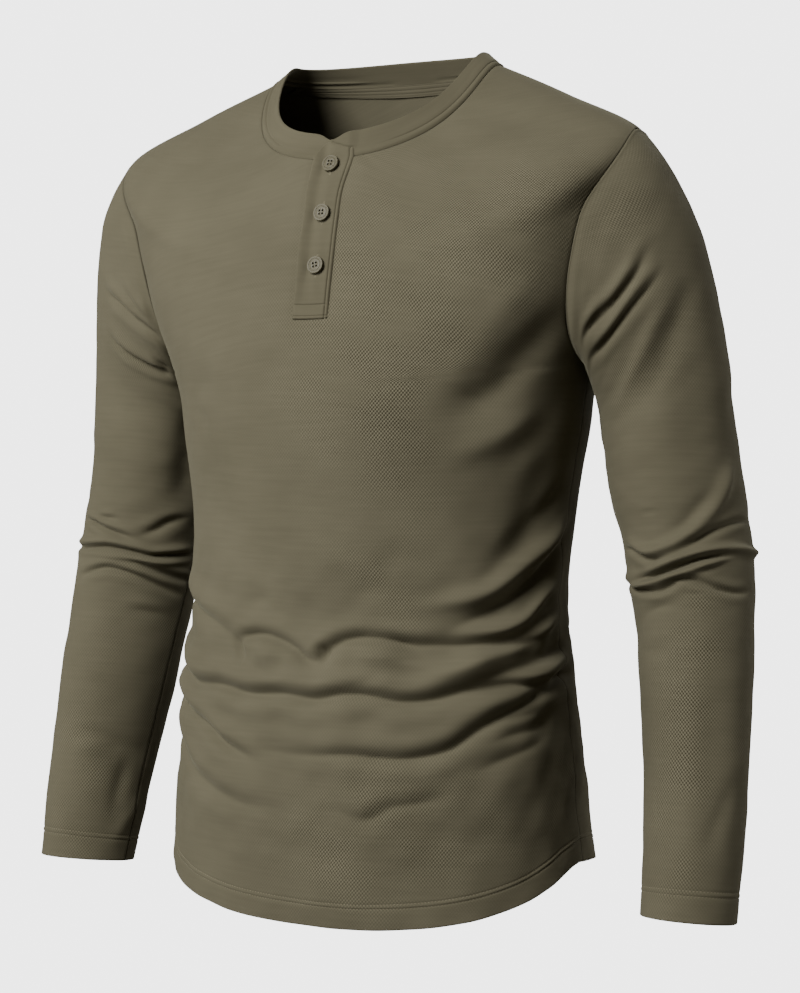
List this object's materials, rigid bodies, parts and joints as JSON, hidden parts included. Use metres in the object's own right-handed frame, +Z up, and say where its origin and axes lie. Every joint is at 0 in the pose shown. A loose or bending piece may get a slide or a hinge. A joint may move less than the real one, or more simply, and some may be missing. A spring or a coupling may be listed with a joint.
{
  "type": "henley shirt",
  "caption": "Long-sleeved knitted henley shirt in its worn, hollow form, with a low stand neckband, a short buttoned placket and a curved hem.",
  "frame": {"origin": "middle of the neck at the height of the shoulder seams' inner ends, where the wearer's shoulders hold the shirt", "axes": "+Z up, -Y the way the shirt's front faces, +X towards the wearer's left"},
  "size_m": [0.6414, 0.2426, 0.699],
  "materials": {
    "front_cloth": "olive cotton piqué knit, matt with a faint nap sheen",
    "back_cloth": "olive cotton piqué knit, matt with a faint nap sheen",
    "sleeve_left_cloth": "olive cotton piqué knit, matt with a faint nap sheen",
    "sleeve_right_cloth": "olive cotton piqué knit, matt with a faint nap sheen",
    "neckband_cloth": "olive cotton piqué knit, doubled and topstitched",
    "placket_top_cloth": "olive cotton piqué knit, doubled and edge-stitched",
    "placket_under_cloth": "olive cotton piqué knit, plain",
    "neck_tape_cloth": "olive cotton tape, flat and matt",
    "button_resin": "satin olive polyester resin, dyed to match"
  },
  "bodies": {
    "root": {"front": "front_cloth", "back": "back_cloth", "sleeve_left": "sleeve_left_cloth", "sleeve_right": "sleeve_right_cloth", "neckband": "neckband_cloth", "placket_top": "placket_top_cloth", "placket_under": "placket_under_cloth", "neck_tape": "neck_tape_cloth", "button_1": "button_resin", "button_2": "button_resin", "button_3": "button_resin"}
  },
  "joints": []
}
